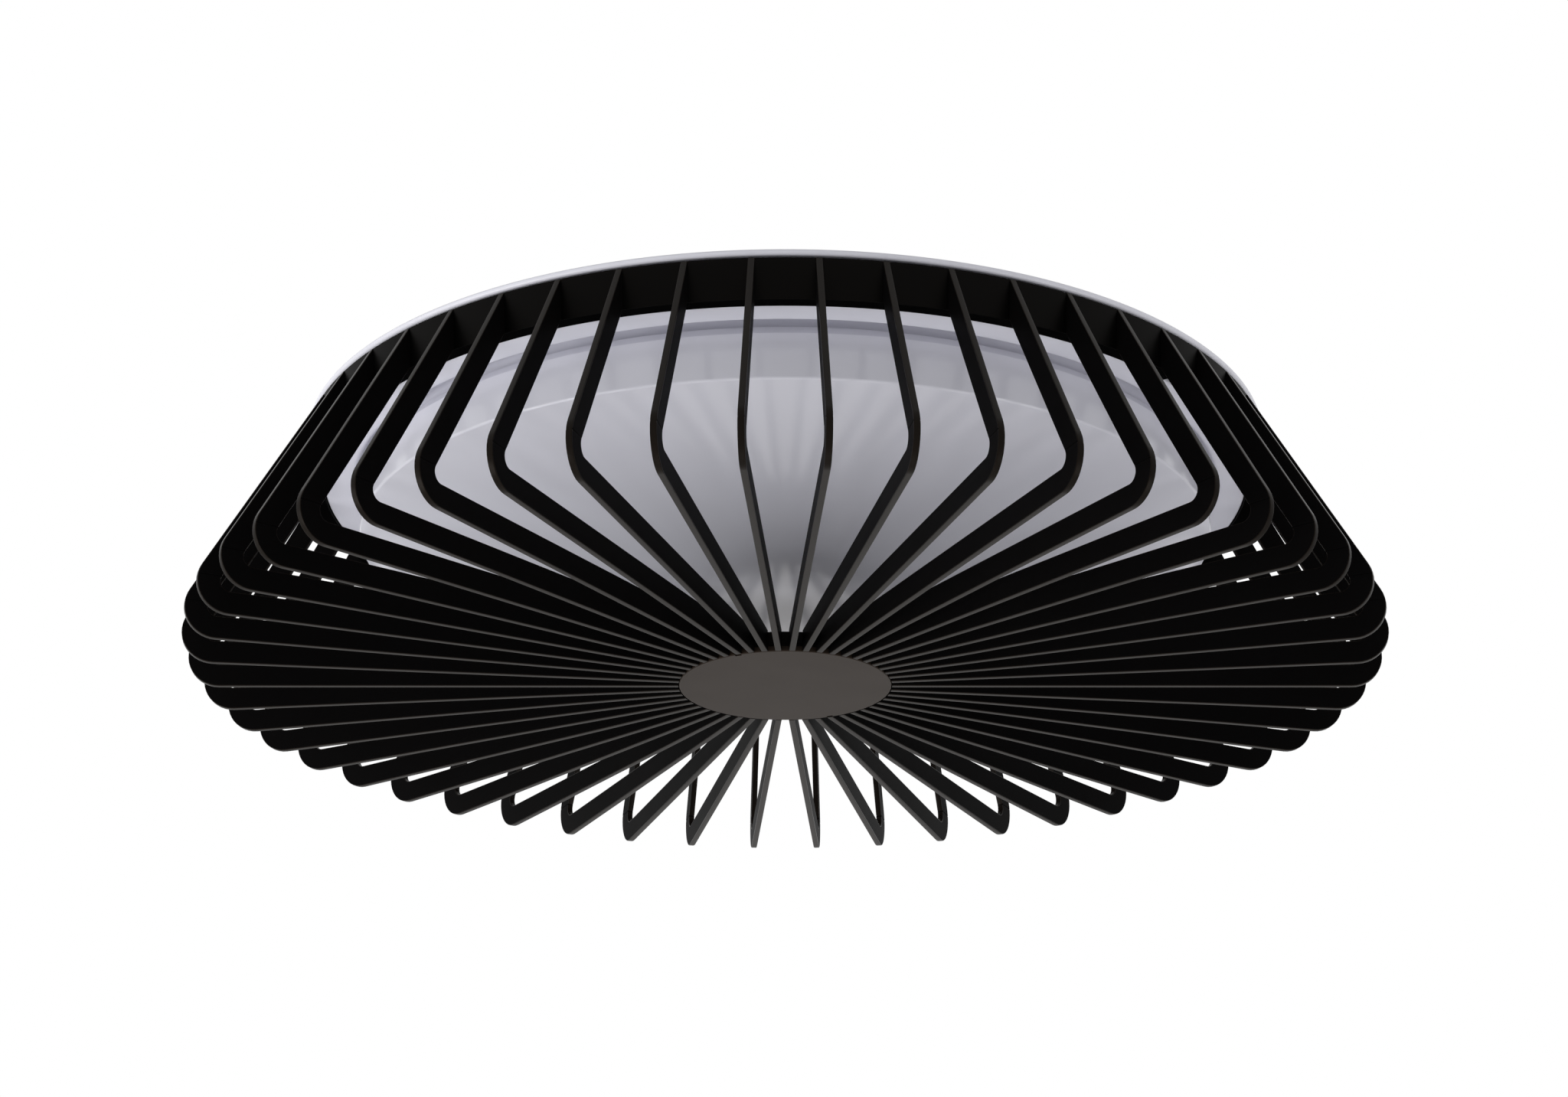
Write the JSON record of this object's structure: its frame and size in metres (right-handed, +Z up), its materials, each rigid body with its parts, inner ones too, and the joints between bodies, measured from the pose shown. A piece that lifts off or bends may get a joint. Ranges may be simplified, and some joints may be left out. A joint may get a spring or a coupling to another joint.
{
  "type": "flush mount ceiling light",
  "caption": "Round flush ceiling light: a white pan with an opal domed drum inside a black cage of radial ribs that slope out, bend and run in to a capped hub.",
  "frame": {"origin": "centre of the ceiling plane, on the axis of the bracket's cable hole", "axes": "+Z up into the ceiling along the lamp's axis, +X along the mounting bracket, -Y towards the picture's camera"},
  "size_m": [0.535, 0.5342, 0.111],
  "materials": {
    "white_paint": "satin white powder coat",
    "zinc_steel": "zinc plated",
    "white_plastic": "matt moulded",
    "foam": "soft foam",
    "natural_plastic": "matt moulded",
    "brown_insulation": "smooth",
    "blue_insulation": "smooth",
    "green_yellow_insulation": "smooth, striped",
    "red_insulation": "smooth",
    "plain_brass": "plain",
    "black_rubber": "matt",
    "board_aluminium": "white solder mask",
    "phosphor": "matt",
    "connector_plastic": "smooth",
    "opal_acrylic": "glossy opal",
    "black_plastic": "satin black",
    "cap_plastic": "satin dark grey"
  },
  "bodies": {
    "base": {"ceiling_pan": "white_paint", "cage_clips": "zinc_steel", "diffuser_clips": "zinc_steel", "mounting_bracket": "zinc_steel", "pan_screws": "zinc_steel", "driver_case": "white_plastic", "driver_cover": "white_plastic", "driver_pad": "foam", "terminal_block": "natural_plastic", "terminal_screws": "zinc_steel", "terminal_fixing_screw": "zinc_steel", "live_lead": "brown_insulation", "neutral_lead": "blue_insulation", "earth_lead": "green_yellow_insulation", "earth_tag": "plain_brass", "earth_screw": "zinc_steel", "led_leads": "red_insulation", "lead_grommet": "black_rubber", "led_board": "board_aluminium", "led_chips": "phosphor", "led_connector": "connector_plastic", "board_screws": "zinc_steel"},
    "diffuser": {"diffuser": "opal_acrylic", "diffuser_dome": "opal_acrylic"},
    "cage": {"cage_ring": "black_plastic", "side_ribs": "black_plastic", "floor_ribs": "black_plastic", "cage_hub": "black_plastic", "hub_cap": "cap_plastic"}
  },
  "joints": [
    {"name": "cage_twist", "type": "hinge", "parent": "base", "child": "cage", "pos_m": [0, 0, 0], "axis": [0, 0, 1], "range_deg": [0, 7.2]},
    {"name": "diffuser_twist", "type": "hinge", "parent": "base", "child": "diffuser", "pos_m": [0, 0, 0], "axis": [0, 0, 1], "range_deg": [0, 8]}
  ]
}
